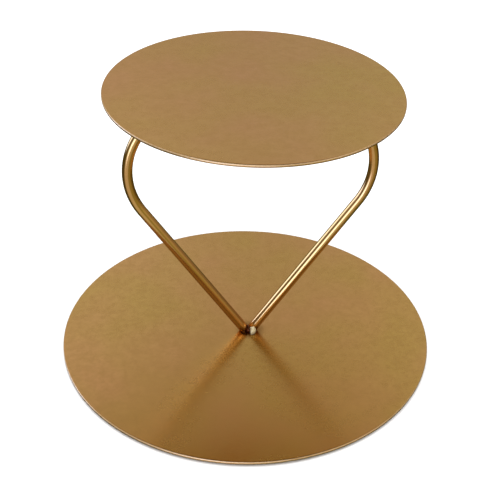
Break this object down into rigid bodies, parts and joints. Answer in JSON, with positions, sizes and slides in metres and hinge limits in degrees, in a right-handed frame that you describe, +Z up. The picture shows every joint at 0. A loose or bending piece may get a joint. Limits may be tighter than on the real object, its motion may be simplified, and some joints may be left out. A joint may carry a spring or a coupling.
{
  "type": "tiered cake stand",
  "caption": "Tiered cake stand: a round flat base plate and a smaller round top plate joined by a rod bent into an upside-down rounded triangle.",
  "frame": {"origin": "middle of the footprint, on the surface that the pads stand on", "axes": "+Z up through the middles of both plates; X lies in the plane of the bent rod; Y runs from front to rear"},
  "size_m": [0.3, 0.3, 0.2265],
  "materials": {
    "gold_plate": "satin metallic gold over flat sheet steel",
    "gold_rod": "semi-gloss metallic gold over round steel bar",
    "gold_weld": "metallic gold over weld metal",
    "pad_rubber": "matt",
    "adhesive": "matt double-sided film"
  },
  "bodies": {
    "root": {"base_plate": "gold_plate", "top_plate": "gold_plate", "support_loop": "gold_rod", "apex_weld": "gold_weld", "top_weld_front_left": "gold_weld", "top_weld_front_right": "gold_weld", "top_weld_rear_left": "gold_weld", "top_weld_rear_right": "gold_weld", "foot_pad_front_left": "pad_rubber", "foot_pad_front_right": "pad_rubber", "foot_pad_rear_left": "pad_rubber", "foot_pad_rear_right": "pad_rubber", "pad_adhesive_front_left": "adhesive", "pad_adhesive_front_right": "adhesive", "pad_adhesive_rear_left": "adhesive", "pad_adhesive_rear_right": "adhesive"}
  },
  "joints": []
}
